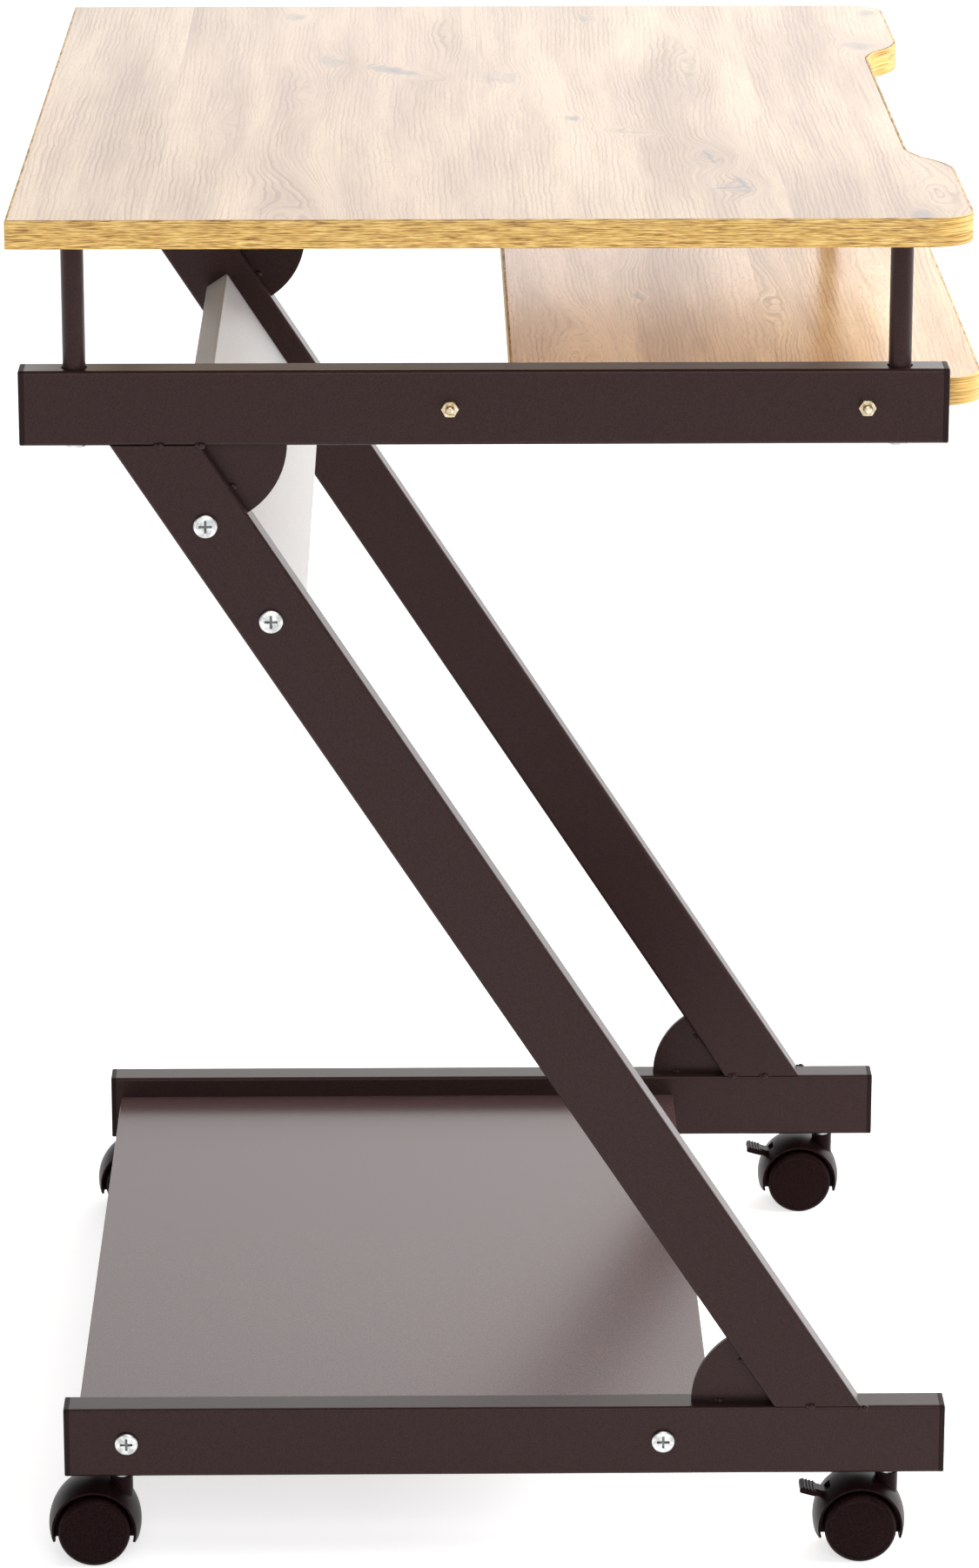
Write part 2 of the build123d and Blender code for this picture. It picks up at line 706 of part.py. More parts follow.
# Slides: half sections are given as (distance from the rail, height above the slide's middle)
half_height = slide_height / 2
lip_foot = half_height - outer_lip
lip_face = outer_depth - slide_sheet
web_face = slide_depth - slide_sheet
flange_face = race_inner - slide_sheet
outer_section = [(0, half_height), (outer_depth, half_height), (outer_depth, lip_foot)]
outer_section += [(lip_face, lip_foot), (lip_face, race_outer), (slide_sheet, race_outer)]
inner_section = [(slide_depth, race_inner), (inner_back, race_inner), (inner_back, flange_face)]
inner_section += [(web_face, flange_face)]
for side, sx in SIDES.items():
    radius = slide_bolt_d / 2 + slide_bolt_gap
    outer = slide_member(sx, slide_front, slide_length, outer_section, slide_bolt_rows, 0, radius)
    save(outer, f"{side}_slide_outer")
    radius = tray_screw_d / 2 + tray_screw_gap
    inner = slide_member(sx, inner_front, inner_length, inner_section, tray_screw_rows, slide_depth, radius)
    save(inner, f"{side}_slide_inner")
    ball_rows = [cage_mid + ball_pitch * (step - (ball_count - 1) / 2) for step in range(ball_count)]
    cage_x = sx * (inner_face - cage_set)
    with BuildPart() as ball_cage:
        for level in (slide_z - ball_z, slide_z + ball_z):
            with BuildSketch(Plane.XY.offset(level)):
                with Locations((cage_x, cage_mid)):
                    Rectangle(cage_width, cage_length)
                with Locations(*[(cage_x, y) for y in ball_rows]):
                    Circle(ball_d / 2 + cage_gap, mode=Mode.SUBTRACT)
            extrude(amount=cage_sheet / 2, both=True)
    save(ball_cage, f"{side}_ball_cage")
    with BuildPart() as slide_balls:
        for level in (slide_z - ball_z, slide_z + ball_z):
            with Locations(*[(cage_x, y, level) for y in ball_rows]):
                Sphere(ball_d / 2)
    save(slide_balls, f"{side}_slide_balls")

# Slide bolts from inside with nuts outside the rails, and the screws into the tray's edges
slide_bolt_length = slide_sheet + tube_width + slide_nut_h + slide_bolt_tip
slide_bolt_head = (slide_bolt_head_d, slide_bolt_head_h, slide_bolt_head_h / 2)
with BuildPart() as slide_bolt:
    add(bolt(slide_bolt_d, slide_bolt_length, *slide_bolt_head).part)
    fillet(faces().sort_by(Axis.Z)[0].edges(), slide_bolt_dome)
slide_nut = hex_nut(slide_nut_af, slide_nut_h, slide_bolt_d / 2 + thread_gap)
tray_screw_head = (tray_screw_head_d, tray_screw_head_h, tray_screw_head_h / 2)
tray_screw = bolt(tray_screw_d, tray_screw_length, *tray_screw_head)
slide_bolt_places = []
slide_nut_places = []
tray_screw_places = []
for sx in SIDES.values():
    for y in slide_bolt_rows:
        head_place = (sx * (inner_face - slide_sheet), y, slide_z)
        slide_bolt_places.append(Plane(head_place, x_dir=(0, 1, 0), z_dir=(-sx, 0, 0)))
        nut_place = (sx * frame_width / 2, y, slide_z)
        slide_nut_places.append(Plane(nut_place, x_dir=(0, 1, 0), z_dir=(sx, 0, 0)))
    for y in tray_screw_rows:
        head_place = (sx * (inner_face - web_face), y, slide_z)
        tray_screw_places.append(Plane(head_place, x_dir=(0, 1, 0), z_dir=(sx, 0, 0)))
save(placed(slide_bolt, slide_bolt_places), "slide_bolts")
save(placed(slide_nut, slide_nut_places), "slide_nuts")
save(placed(tray_screw, tray_screw_places), "tray_screws")

# Casters
plain_hood = caster_hood(False)
braked_hood = caster_hood(True)
wheels = {-1: caster_wheel(-1), 1: caster_wheel(1)}
stem = caster_stem()
axle = caster_axle()
lever = brake_lever()
nut_places = []
for row, y in caster_rows.items():
    for side, sx in SIDES.items():
        name = f"{row}_{side}"
        place = [(sx * rail_x, y, 0)]
        hood = braked_hood if row == "front" else plain_hood
        save(placed(hood, place), f"{name}_caster_hood")
        save(placed(stem, place), f"{name}_caster_stem")
        save(placed(axle, place), f"{name}_caster_axle")
        save(placed(wheels[sx], place), f"{name}_outer_wheel")
        save(placed(wheels[-sx], place), f"{name}_inner_wheel")
        if row == "front":
            save(placed(lever, place), f"{name}_brake_lever")
        nut_places.append((sx * rail_x, y, foot_rail_low + tube_wall))
caster_nut = hex_nut(caster_nut_af, caster_nut_h, stem_d / 2 + thread_gap)
save(placed(caster_nut, nut_places), "caster_nuts")
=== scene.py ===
"""Looks of a mobile computer desk: oak-print boards, powder-coated frame, weld beads, casters and studio."""

import math

import bmesh
import bpy
from bpy.props import FloatProperty, FloatVectorProperty, PointerProperty
from mathutils import Matrix, Vector


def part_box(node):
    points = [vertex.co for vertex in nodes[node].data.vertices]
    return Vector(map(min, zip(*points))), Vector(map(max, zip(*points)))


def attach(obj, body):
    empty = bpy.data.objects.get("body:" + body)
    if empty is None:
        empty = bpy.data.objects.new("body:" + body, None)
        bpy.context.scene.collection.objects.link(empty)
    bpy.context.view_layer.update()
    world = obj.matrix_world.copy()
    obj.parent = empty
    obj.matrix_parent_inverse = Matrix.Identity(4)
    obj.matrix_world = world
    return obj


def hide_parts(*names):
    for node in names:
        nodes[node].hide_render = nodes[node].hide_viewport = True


bl_info = {
    "name": "Computer desk looks",
    "version": (1, 0, 0),
    "blender": (4, 5, 0),
    "location": "3D View > Sidebar > Desk",
    "description": "Dresses the packed computer desk and lights it",
    "category": "Object",
}

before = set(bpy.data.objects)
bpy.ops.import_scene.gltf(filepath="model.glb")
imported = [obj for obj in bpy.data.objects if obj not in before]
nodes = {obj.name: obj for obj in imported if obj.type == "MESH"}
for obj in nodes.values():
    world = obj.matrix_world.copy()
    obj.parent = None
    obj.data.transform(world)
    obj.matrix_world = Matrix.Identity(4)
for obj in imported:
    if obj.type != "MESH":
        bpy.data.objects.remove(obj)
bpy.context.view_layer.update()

MM = 0.001
SIDES = {"left": -1, "right": 1}
ROWS = ("front", "rear")
CASTERS = [f"{row}_{side}" for row in ROWS for side in SIDES]

# Segments of a board's rounded corner, of a rounding in a wheel's section and of a wheel's full turn.
BOARD_SEGMENTS, WHEEL_SEGMENTS, TURN_SEGMENTS = 14, 5, 72
# Faces that meet at more than this angle keep a sharp edge between them.
SHARP_ANGLE = math.radians(32)

# Sockets of a Mix node that mixes colours.
SHARE, FROM, TO, MIXED = 0, 6, 7, 2

# Features of the oak print: length along the grain and width across it, in millimetres. Real fibres and pores
# are about 0.2 mm wide, too fine to show, so they are drawn coarser.
GRAIN = {
    "sweep": (420, 130),
    "waver": (26, 30),
    "spacing": (190, 7),
    "fading": (150, 14),
    "bands": (380, 34),
    "fibres": (40, 0.9),
    "stains": (14, 6),
    "pores": (8, 0.6),
}
# How far the grain sways across the board, in millimetres.
SWAY = {"sweep": 20, "waver": 3}
# Step between the stretches of grain that neighbouring planks show.
PLANK_SHIFT = 3.7
# Ripples that make a mark's outline uneven: their size, and how far they move it along and across, in
# millimetres.
RIPPLE = 16
RIPPLE_REACH = (12, 7)
# One growth ring from its pale early wood to its dark late wood: place in the ring and darkness.
RING_STOPS = [(0.0, 0.0), (0.5, 0.12), (0.8, 1.0), (0.98, 0.0)]
# How many rings the uneven spacing moves a line by.
RING_WANDER = 1.5

# Marks of the print, which are knots, cracks in the larger knots and arches of the grain: x and y from the
# desk's middle, reach along and across itself in millimetres, turn in degrees, how much the rings close round
# it and how dark its heart is.
TOP_KNOTS = [
    (285, 118, 34, 17, 0, 0.9, 0.75),
    (132, 94, 60, 20, 10, 0.5, 0.6),
    (102, 58, 62, 19, 44, 0.9, 0.95),
    (80, -4, 60, 30, 0, 0.3, 0.62),
    (-47, -42, 22, 12, 0, 0.8, 0.9),
    (-88, -72, 34, 14, 60, 0.7, 0.6),
    (-160, -110, 66, 30, 0, 1.0, 0.35),
    (-242, -122, 44, 24, 0, 1.0, 0.6),
    (181, -216, 40, 24, 20, 1.0, 0.75),
    (278, -57, 20, 11, 0, 0.8, 0.85),
    (296, -231, 28, 14, 0, 0.8, 0.8),
    (-317, -212, 30, 16, 0, 0.9, 0.9),
]
TOP_CRACKS = [
    (-160, -112, 46, 3, 4, 0.0, 1.6),
    (-232, -126, 44, 3, 12, 0.0, 1.6),
    (-244, -120, 6, 26, 12, 0.0, 1.6),
]
TOP_ARCHES = [
    (-345, 114, 220, 42, 0, 1.0, 0.0),
    (-60, 150, 150, 22, 0, 0.6, 0.0),
    (30, 110, 130, 20, 0, 0.7, 0.0),
    (-260, -226, 130, 30, 0, 1.0, 0.0),
    (120, -110, 190, 26, 0, 0.6, 0.0),
    (230, 30, 160, 24, 0, 0.5, 0.0),
]
TRAY_MARKS = [
    (-190, -40, 190, 34, 0, 1.0, 0.0),
    (-60, -150, 160, 24, 0, 0.8, 0.0),
    (-40, -80, 24, 12, 0, 0.8, 0.6),
    (150, -70, 180, 30, 0, 0.9, 0.0),
    (30, -215, 150, 22, 0, 0.7, 0.0),
]

# Tack welds of a side frame, in millimetres: outwards from the leg's middle, then along the desk and up from
# the leg's upper rear corner or from its lower front corner. A gusset is welded along both its faces.
GUSSET_FACES = (1.5, -1.5)
UPPER_TACKS = [(10, -26.6, 0), (10, -48, 0), (-10, -36, 0)]
UPPER_TACKS += [tack for face in GUSSET_FACES for tack in ((face, -64, -24), (face, -88, 0))]
LOWER_TACKS = [(10, 26.8, 0), (10, -2.6, -1.2), (-10, 41.6, 0), (-10, 21.6, 0)]
LOWER_TACKS += [tack for face in GUSSET_FACES for tack in ((face, 77, 0), (face, 64, 24))]

# Camera: focal length and picture height in pixels, place in metres, turn and tilt in radians.
FOCAL_PIXELS = 6635.4
PICTURE_HEIGHT = 1801
CAMERA_PLACE = (-3.21131, 0.044885, 1.35773)
CAMERA_TURN, CAMERA_TILT = -0.0128, -0.2999


def linear(code):
    """An sRGB hex value as linear colour."""
    shares = [int(code[i : i + 2], 16) / 255 for i in (0, 2, 4)]
    return [s / 12.92 if s <= 0.04045 else ((s + 0.055) / 1.055) ** 2.4 for s in shares] + [1.0]


def add_node(tree, kind, inputs=None, stops=(), out=0, **settings):
    """Add a shader node with its settings, links and ramp stops, and give one of its outputs."""
    made = tree.nodes.new("ShaderNode" + kind)
    for name, value in settings.items():
        setattr(made, name, value)
    for socket, value in (inputs or {}).items():
        if isinstance(value, bpy.types.NodeSocket):
            tree.links.new(value, made.inputs[socket])
        else:
            made.inputs[socket].default_value = value
    for i, (place, tint) in enumerate(stops):
        if i >= len(made.color_ramp.elements):
            made.color_ramp.elements.new(1.0)
        made.color_ramp.elements[i].position = place
        made.color_ramp.elements[i].color = tint
    return made.outputs[out]


def new_material(name, **sockets):
    """A material with a principled shader, its even values set on the shader's own sockets."""
    made = bpy.data.materials.new(name)
    made.use_nodes = True
    tree = made.node_tree
    shader = tree.nodes["Principled BSDF"]
    for socket, value in sockets.items():
        shader.inputs[socket.replace("_", " ")].default_value = value
    place = add_node(tree, "TexCoord", out="Object")
    return made, tree, shader, place


def wrap_grain(tree, flat, y, across, marks):
    """Close the grain round the marks, and give the place across it and the darkness of the marks' hearts."""
    ripple = {"Vector": flat, "Scale": 1 / (RIPPLE * MM), "Detail": 2.0}
    ripple = add_node(tree, "TexNoise", ripple, out="Color")
    ripple = add_node(tree, "VectorMath", {0: ripple, 1: (0.5, 0.5, 0.5)}, operation="SUBTRACT")
    uneven = {0: ripple, 1: (RIPPLE_REACH[0] * MM, RIPPLE_REACH[1] * MM, 0.0), 2: flat}
    uneven = add_node(tree, "VectorMath", uneven, operation="MULTIPLY_ADD")
    heart = 0.0
    for mark_x, mark_y, length, width, turn, wrap, dark in marks:
        spot = {"Location": (mark_x * MM, mark_y * MM, 0.0), "Rotation": (0.0, 0.0, math.radians(turn))}
        spot.update({"Vector": uneven, "Scale": (length * MM, width * MM, 1.0)})
        vector = add_node(tree, "Mapping", spot, vector_type="TEXTURE")
        away = add_node(tree, "VectorMath", {0: vector}, out="Value", operation="LENGTH")
        if wrap:
            fade = {"Value": away, "To Min": wrap, "To Max": 0.0}
            near = add_node(tree, "MapRange", fade, interpolation_type="SMOOTHERSTEP")
            rings = {0: away, 1: width * MM, 2: mark_y * MM}
            rings = add_node(tree, "Math", rings, operation="MULTIPLY_ADD")
            pull = add_node(tree, "Math", {0: rings, 1: y}, operation="SUBTRACT")
            across = add_node(tree, "Math", {0: near, 1: pull, 2: across}, operation="MULTIPLY_ADD")
        if dark:
            core = {"Value": away, "From Min": 0.05, "From Max": 0.75, "To Min": dark, "To Max": 0.0}
            core = add_node(tree, "MapRange", core, interpolation_type="SMOOTHSTEP")
            heart = add_node(tree, "Math", {0: core, 1: heart}, operation="MAXIMUM")
    return across, heart


def oak_print_melamine(name, pale, late, marks, colours, sizes):
    """Oak-print melamine, pressed satin: close straight grain round grey knots, under a pale sheen."""
    made, tree, shader, place = new_material(name, Specular_IOR_Level=0.48)
    x = add_node(tree, "SeparateXYZ", {0: place}, out="X")
    y = x.node.outputs["Y"]
    flat = add_node(tree, "CombineXYZ", {"X": x, "Y": y})

    # The print shows planks, each with its own tone and its own stretch of grain.
    joints = {"Value": y, "From Min": sizes.plank_start, "From Max": sizes.plank_start + sizes.plank}
    plank = add_node(tree, "MapRange", joints, clamp=False)
    number = add_node(tree, "Math", {0: plank}, operation="FLOOR")
    tone = add_node(tree, "TexWhiteNoise", {"W": number}, out="Value", noise_dimensions="1D")
    shift = add_node(tree, "Math", {0: number, 1: PLANK_SHIFT}, operation="MULTIPLY")

    def grain(feature, across, detail):
        """Noise stretched along the grain to a feature's length and width."""
        length, width = GRAIN[feature]
        board = add_node(tree, "CombineXYZ", {"X": x, "Y": across, "Z": shift})
        scale = (1 / (length * MM), 1 / (width * MM), 1.0)
        vector = add_node(tree, "Mapping", {"Vector": board, "Scale": scale})
        noise = {"Vector": vector, "Scale": 1.0, "Detail": detail, "Roughness": 0.55}
        return add_node(tree, "TexNoise", noise, out="Fac")

    swayed = y
    for feature, reach in SWAY.items():
        push = {0: grain(feature, y, 1.0), 1: reach * MM, 2: swayed}
        swayed = add_node(tree, "Math", push, operation="MULTIPLY_ADD")
    across, heart = wrap_grain(tree, flat, y, swayed, marks)

    # Growth rings: lines of late wood, unevenly spaced, that fade in and out along the board.
    rings = add_node(tree, "Math", {0: across, 1: 1 / sizes.ring}, operation="MULTIPLY")
    uneven = {0: grain("spacing", across, 1.0), 1: RING_WANDER, 2: rings}
    rings = add_node(tree, "Math", uneven, operation="MULTIPLY_ADD")
    turn = add_node(tree, "Math", {0: rings}, operation="FRACT")
    stops = [(at, (dark, dark, dark, 1.0)) for at, dark in RING_STOPS]
    ring = add_node(tree, "ValToRGB", {0: turn}, stops=stops)
    drawn = {"Value": grain("fading", across, 1.0), "From Min": 0.35, "From Max": 0.65, "To Min": 0.15}
    drawn = add_node(tree, "MapRange", drawn)
    lines = add_node(tree, "Math", {0: ring, 1: drawn}, operation="MULTIPLY")

    bands = {"Value": grain("bands", across, 2.0), "From Min": 0.34, "From Max": 0.66}
    bands = add_node(tree, "MapRange", bands)
    fibres = {"Value": grain("fibres", across, 2.0), "From Min": 0.3, "From Max": 0.7}
    fibres = add_node(tree, "MapRange", fibres)
    shade = 0.0
    for field, share in ((bands, 0.6), (lines, 0.5), (fibres, 0.3)):
        shade = add_node(tree, "Math", {0: field, 1: share, 2: shade}, operation="MULTIPLY_ADD")
    ragged = {0: grain("stains", y, 3.0), 1: 0.9, 2: heart}
    ragged = add_node(tree, "Math", ragged, operation="MULTIPLY_ADD")
    stain = {"Value": ragged, "From Min": 0.7, "From Max": 1.5, "To Max": 0.95}
    stain = add_node(tree, "MapRange", stain)
    pores = {"Value": grain("pores", across, 0.0), "From Min": 0.62, "From Max": 0.74, "To Max": 0.4}
    pores = add_node(tree, "MapRange", pores)

    dull = {"Hue": 0.49, "Saturation": 1.06, "Value": 0.95, "Color": pale}
    dull = add_node(tree, "HueSaturation", dull)
    wood = add_node(tree, "Mix", {SHARE: tone, FROM: pale, TO: dull}, out=MIXED, data_type="RGBA")
    for share, tint in ((shade, late), (stain, colours.oak_knot), (pores, colours.oak_pore)):
        wood = add_node(tree, "Mix", {SHARE: share, FROM: wood, TO: tint}, out=MIXED, data_type="RGBA")
    tree.links.new(wood, shader.inputs["Base Color"])
    sheen = {"Value": shade, "To Min": sizes.oak_roughness, "To Max": sizes.oak_roughness + 0.06}
    tree.links.new(add_node(tree, "MapRange", sheen), shader.inputs["Roughness"])
    relief = add_node(tree, "Math", {0: fibres, 1: pores}, operation="SUBTRACT")
    bump = add_node(tree, "Bump", {"Height": relief, "Strength": 0.15, "Distance": 0.06 * MM})
    tree.links.new(bump, shader.inputs["Normal"])
    return made


def oak_edge_band(colours):
    """Golden oak-print ABS edge band, ironed on: short streaks that run along the edge, satin."""
    made, tree, shader, place = new_material("oak_print_edge_band", Roughness=0.42)
    x = add_node(tree, "SeparateXYZ", {0: place}, out="X")
    along = add_node(tree, "Math", {0: x, 1: x.node.outputs["Y"]}, operation="ADD")
    run = add_node(tree, "CombineXYZ", {"X": along, "Y": x.node.outputs["Z"]})
    # Streaks: length and height in millimetres, detail and weight. The finest real ones, about 0.2 mm high,
    # don't show, so these are drawn coarser.
    streaks = 0.0
    for length, height, detail, weight in ((17, 0.6, 2.0, 1.0), (6, 0.4, 1.0, 0.55)):
        scale = (1 / (length * MM), 1 / (height * MM), 1.0)
        vector = add_node(tree, "Mapping", {"Vector": run, "Scale": scale})
        streak = add_node(tree, "TexNoise", {"Vector": vector, "Scale": 1.0, "Detail": detail}, out="Fac")
        streaks = add_node(tree, "Math", {0: streak, 1: weight, 2: streaks}, operation="MULTIPLY_ADD")
    spread = add_node(tree, "MapRange", {"Value": streaks, "From Min": 0.6, "From Max": 0.94})
    stops = [(0.0, colours.band_dark), (0.32, colours.band_mid)]
    stops += [(0.6, colours.band), (1.0, colours.band_pale)]
    tint = add_node(tree, "ValToRGB", {0: spread}, stops=stops)
    tree.links.new(tint, shader.inputs["Base Color"])
    bump = add_node(tree, "Bump", {"Height": streaks, "Strength": 0.2, "Distance": 0.1 * MM})
    tree.links.new(bump, shader.inputs["Normal"])
    return made


def speckled(name, ground, specks, grit, relief, **sockets):
    """A sprayed, pressed or moulded skin: two close tones in a fine grit, over a shallow orange peel.

    grit and relief are in millimetres. Such a grit is really 0.3 mm or less, too fine to show, so it is given
    coarser."""
    made, tree, shader, place = new_material(name, **sockets)
    fine = {"Vector": place, "Scale": 1 / (grit * MM), "Detail": 2.0}
    fine = add_node(tree, "TexNoise", fine, out="Fac")
    split = add_node(tree, "MapRange", {"Value": fine, "From Min": 0.35, "From Max": 0.65})
    tint = add_node(tree, "Mix", {SHARE: split, FROM: ground, TO: specks}, out=MIXED, data_type="RGBA")
    tree.links.new(tint, shader.inputs["Base Color"])
    peel_size = 2.6 * grit
    peel = {"Vector": place, "Scale": 1 / (peel_size * MM), "Detail": 1.0}
    peel = add_node(tree, "TexNoise", peel, out="Fac")
    bump = add_node(tree, "Bump", {"Height": peel, "Strength": 0.35, "Distance": relief * MM})
    tree.links.new(bump, shader.inputs["Normal"])
    return made


def plated_steel(name, bright, clouded, drawn=0.5, face=0.0):
    """Plated steel: a bright shine with a cloudy passivation and fine lines from drawing or rolling.

    The lines are as long as drawn says, in millimetres. They are 0.5 mm wide, because the real ones of 0.1 mm
    wouldn't show. Where face is given, painted shade darkens the recess and the underside of the rim of the
    heads, whose tops stand that far from the middle of the desk."""
    made, tree, shader, place = new_material(name, Metallic=1.0)
    cloud_size, line_width = 3 * MM, 0.5 * MM
    cloud = add_node(tree, "TexNoise", {"Vector": place, "Scale": 1 / cloud_size, "Detail": 2.0}, out="Fac")
    cloud = add_node(tree, "MapRange", {"Value": cloud, "From Min": 0.35, "From Max": 0.65})
    tint = add_node(tree, "Mix", {SHARE: cloud, FROM: bright, TO: clouded}, out=MIXED, data_type="RGBA")
    # Painted shade: from 0.5 mm to 1.3 mm below the heads' tops the plating darkens to a fifth of its tone,
    # in the recess and under the rim.
    if face:
        depth = add_node(tree, "SeparateXYZ", {0: place}, out="X")
        depth = add_node(tree, "Math", {0: depth}, operation="ABSOLUTE")
        black, clear = face - 1.3 * MM, face - 0.5 * MM
        painted_recess_shade = {"Value": depth, "From Min": black, "From Max": clear, "To Min": 0.2}
        painted_recess_shade = add_node(tree, "MapRange", painted_recess_shade)
        tint = add_node(tree, "VectorMath", {0: tint, "Scale": painted_recess_shade}, operation="SCALE")
    tree.links.new(tint, shader.inputs["Base Color"])
    scale = (1 / line_width, 1 / (drawn * MM), 1 / line_width)
    vector = add_node(tree, "Mapping", {"Vector": place, "Scale": scale})
    lines = add_node(tree, "TexNoise", {"Vector": vector, "Scale": 1.0, "Detail": 1.0}, out="Fac")
    rough = add_node(tree, "MapRange", {"Value": lines, "To Min": 0.15, "To Max": 0.4})
    tree.links.new(rough, shader.inputs["Roughness"])
    return made


def dress(material, *names):
    """Give CAD nodes their material."""
    for name in names:
        for slot in nodes[name].material_slots:
            slot.material = material


def add_piece(name, edit, material, body, replaces=()):
    """Make a finished mesh edit an object that rides on a body, smooth but for its sharp edges."""
    mesh = bpy.data.meshes.new(name)
    edit.to_mesh(mesh)
    edit.free()
    mesh.materials.append(material)
    for face in mesh.polygons:
        face.use_smooth = True
    mesh.set_sharp_from_angle(angle=SHARP_ANGLE)
    piece = bpy.data.objects.new(name, mesh)
    bpy.context.scene.collection.objects.link(piece)
    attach(piece, body)
    if replaces:
        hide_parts(*replaces)


def round_corners(edit, corners, segments):
    """Round an outline's corners, given with how far each rounding reaches along its edges."""
    settings = {"affect": "VERTICES", "offset_type": "ABSOLUTE", "profile": 0.5, "material": -1}
    for corner, reach in corners:
        if reach:
            bmesh.ops.bevel(edit, geom=[corner], offset=reach, segments=segments, **settings)


def banded_board(outline, low, thick, sizes, ring):
    """Board cut to a rounded outline: its inner field or, as a ring, the eased band round it.

    outline holds (x, y, how far a corner's rounding reaches along its edges)."""
    edit = bmesh.new()
    corners = [(edit.verts.new((x, y, low)), reach) for x, y, reach in outline]
    edit.faces.new(edit.verts)
    round_corners(edit, corners, BOARD_SEGMENTS)
    # Where two bends meet, their ends fall on one point.
    bmesh.ops.remove_doubles(edit, verts=edit.verts, dist=0.1 * MM)
    edit.faces.ensure_lookup_table()
    field = edit.faces[0]
    settings = {"thickness": sizes.band, "use_boundary": True, "use_even_offset": True}
    sides = bmesh.ops.inset_region(edit, faces=[field], **settings)["faces"]
    bmesh.ops.delete(edit, geom=[field] if ring else sides, context="FACES")
    bmesh.ops.recalc_face_normals(edit, faces=edit.faces)
    raised = bmesh.ops.extrude_face_region(edit, geom=edit.faces[:], use_keep_orig=True)["geom"]
    upper = [part for part in raised if isinstance(part, bmesh.types.BMVert)]
    bmesh.ops.translate(edit, verts=upper, vec=(0, 0, thick))
    bmesh.ops.recalc_face_normals(edit, faces=edit.faces)
    if ring:
        settings = {"affect": "EDGES", "offset_type": "OFFSET", "segments": 3, "profile": 0.5, "material": -1}
        bmesh.ops.bevel(edit, geom=outer_edges(edit), offset=sizes.arris, clamp_overlap=True, **settings)
    return edit


def outer_edges(edit):
    """Top and bottom edges of a ring's outer wall."""
    middle = sum((v.co for v in edit.verts), Vector()) / len(edit.verts)
    walls = [f for f in edit.faces if abs(f.normal.z) < 0.5]
    outer = [f for f in walls if (f.calc_center_median() - middle).dot(f.normal) > 0]
    return [e for f in outer for e in f.edges if abs(e.verts[0].co.z - e.verts[1].co.z) < 0.001 * MM]


def length_property(name, description, millimetres):
    """A length property with its default in millimetres."""
    return FloatProperty(name=name, description=description, default=millimetres * MM, unit="LENGTH")


def colour_property(name, description, code):
    """A colour property with an sRGB hex default."""
    shape = {"subtype": "COLOR", "size": 4, "min": 0.0, "max": 1.0}
    return FloatVectorProperty(name=name, description=description, default=linear(code), **shape)


class DeskSizes(bpy.types.PropertyGroup):
    """Sizes of the boards, their print and the welds."""

    corner: length_property("Board corner", "Rounding of the boards' front corners", 22)
    cut_back: length_property("Cut-back", "Depth of the cut-back in the tabletop's front edge", 21.5)
    cut_bend: length_property("Cut-back bend", "Radius of the bends at the cut-back's ends", 50)
    cut_half: length_property("Cut-back half", "Half the straight run of the cut-back", 136)
    arris: length_property("Board arris", "Easing of the boards' edges", 0.7)
    band: length_property("Edge band", "Thickness of the edge band", 1.5)
    ring: length_property("Growth ring", "Spacing of the oak's rings", 2.9)
    plank: length_property("Plank", "Width of a printed plank", 164)
    plank_start: length_property("Plank joint", "Place of a plank joint, from the desk's middle", 17)
    bead: length_property("Weld bead", "Radius of a tack weld", 2.3)
    oak_roughness: FloatProperty(
        name="Oak roughness", description="Roughness of the oak print", default=0.16, subtype="FACTOR"
    )


class DeskColours(bpy.types.PropertyGroup):
    """Colours of the desk's finishes."""

    paint: colour_property("Powder coat", "Dark brown coat of the steel frame", "201312")
    paint_two: colour_property("Powder coat grit", "Lighter specks in the coat", "2E1F1E")
    cap: colour_property("End caps", "Plastic plugs in the rails", "1B0F0E")
    oak_pale: colour_property("Top oak, pale", "Early wood of the tabletop's print", "D0AF82")
    oak_late: colour_property("Top oak, lines", "Late wood of the tabletop's print", "865A2A")
    # Painted light: the tray's print is the top's oak painted lighter and more golden, to make up for the
    # shade the tabletop casts on it.
    tray_pale_lightened: colour_property("Tray oak, pale", "Early wood of the tray's print", "F4CE98")
    tray_late_lightened: colour_property("Tray oak, lines", "Late wood of the tray's print", "A87838")
    oak_knot: colour_property("Oak, knot", "Hearts of the printed knots", "4E4240")
    oak_pore: colour_property("Oak, pore", "Short pores of the print", "7E6250")
    band: colour_property("Band", "Ground tone of the edge band", "C49B50")
    band_mid: colour_property("Band, mid", "Soft streaks in the band", "B0863C")
    band_dark: colour_property("Band, dark", "Sharp dark streaks in the band", "74501D")
    band_pale: colour_property("Band, pale", "Pale streaks in the band", "DCBD74")
    shelf: colour_property("Shelf", "Taupe of the bottom shelf", "4B3938")
    shelf_two: colour_property("Shelf grit", "Lighter specks in the shelf", "564140")
    panel: colour_property("Panel", "Pale grey of the back panel", "BEC0C3")
    panel_two: colour_property("Panel grit", "Darker specks in the panel", "B4B6B9")
    moulded: colour_property("Caster plastic", "Near black of the casters", "0A0405")
    moulded_two: colour_property("Caster grit", "Lighter specks in the casters", "1E1011")
    zinc: colour_property("Zinc", "Bright zinc plating", "E2E4E4")
    zinc_two: colour_property("Zinc, clouded", "Cloudy places in the zinc", "AEB0B0")
    nickel: colour_property("Nickel", "Warm nickel plating", "DCD0B8")
    nickel_two: colour_property("Nickel, stained", "Stained places in the nickel", "B09A78")


